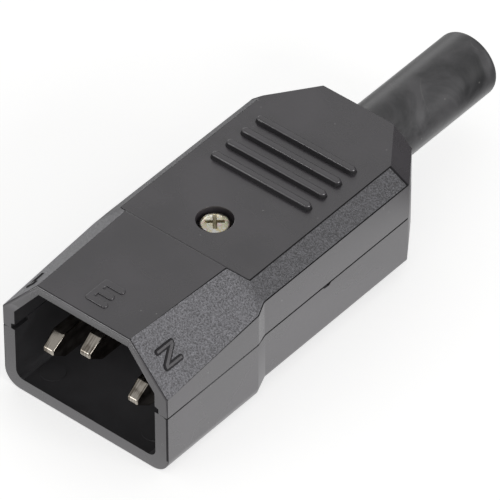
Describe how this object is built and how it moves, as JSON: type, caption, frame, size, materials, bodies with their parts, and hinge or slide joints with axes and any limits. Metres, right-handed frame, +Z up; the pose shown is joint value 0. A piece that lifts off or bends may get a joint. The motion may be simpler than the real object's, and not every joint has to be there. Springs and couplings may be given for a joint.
{
  "type": "rewireable iec power plug",
  "caption": "Rewireable inline power plug: flat pins inside an open chamfered shroud, a split moulded housing with a cover screw and grip bars, and a rubber sleeve for the lead.",
  "frame": {"origin": "middle of the bounding box at its bottom: under the middle of the plug's length, on the plane of the shroud's underside", "axes": "+Y from the mouth of the shroud towards the lead, +Z up from the underside towards the cover with its screw, +X to the right seen from the mouth"},
  "size_m": [0.0272, 0.0772, 0.0198],
  "materials": {
    "housing": "moulded, satin on the flats and grained on the chamfers",
    "pin": "nickel plated",
    "screw": "zinc plated",
    "clamp": "moulded",
    "boot": "matt"
  },
  "bodies": {
    "root": {"cover_shell": "housing", "base_shell": "housing", "line_pin": "pin", "neutral_pin": "pin", "earth_pin": "pin", "terminal_screws": "screw", "cord_clamp": "clamp", "clamp_screws": "screw", "cover_screw": "screw", "strain_relief_boot": "boot"}
  },
  "joints": []
}
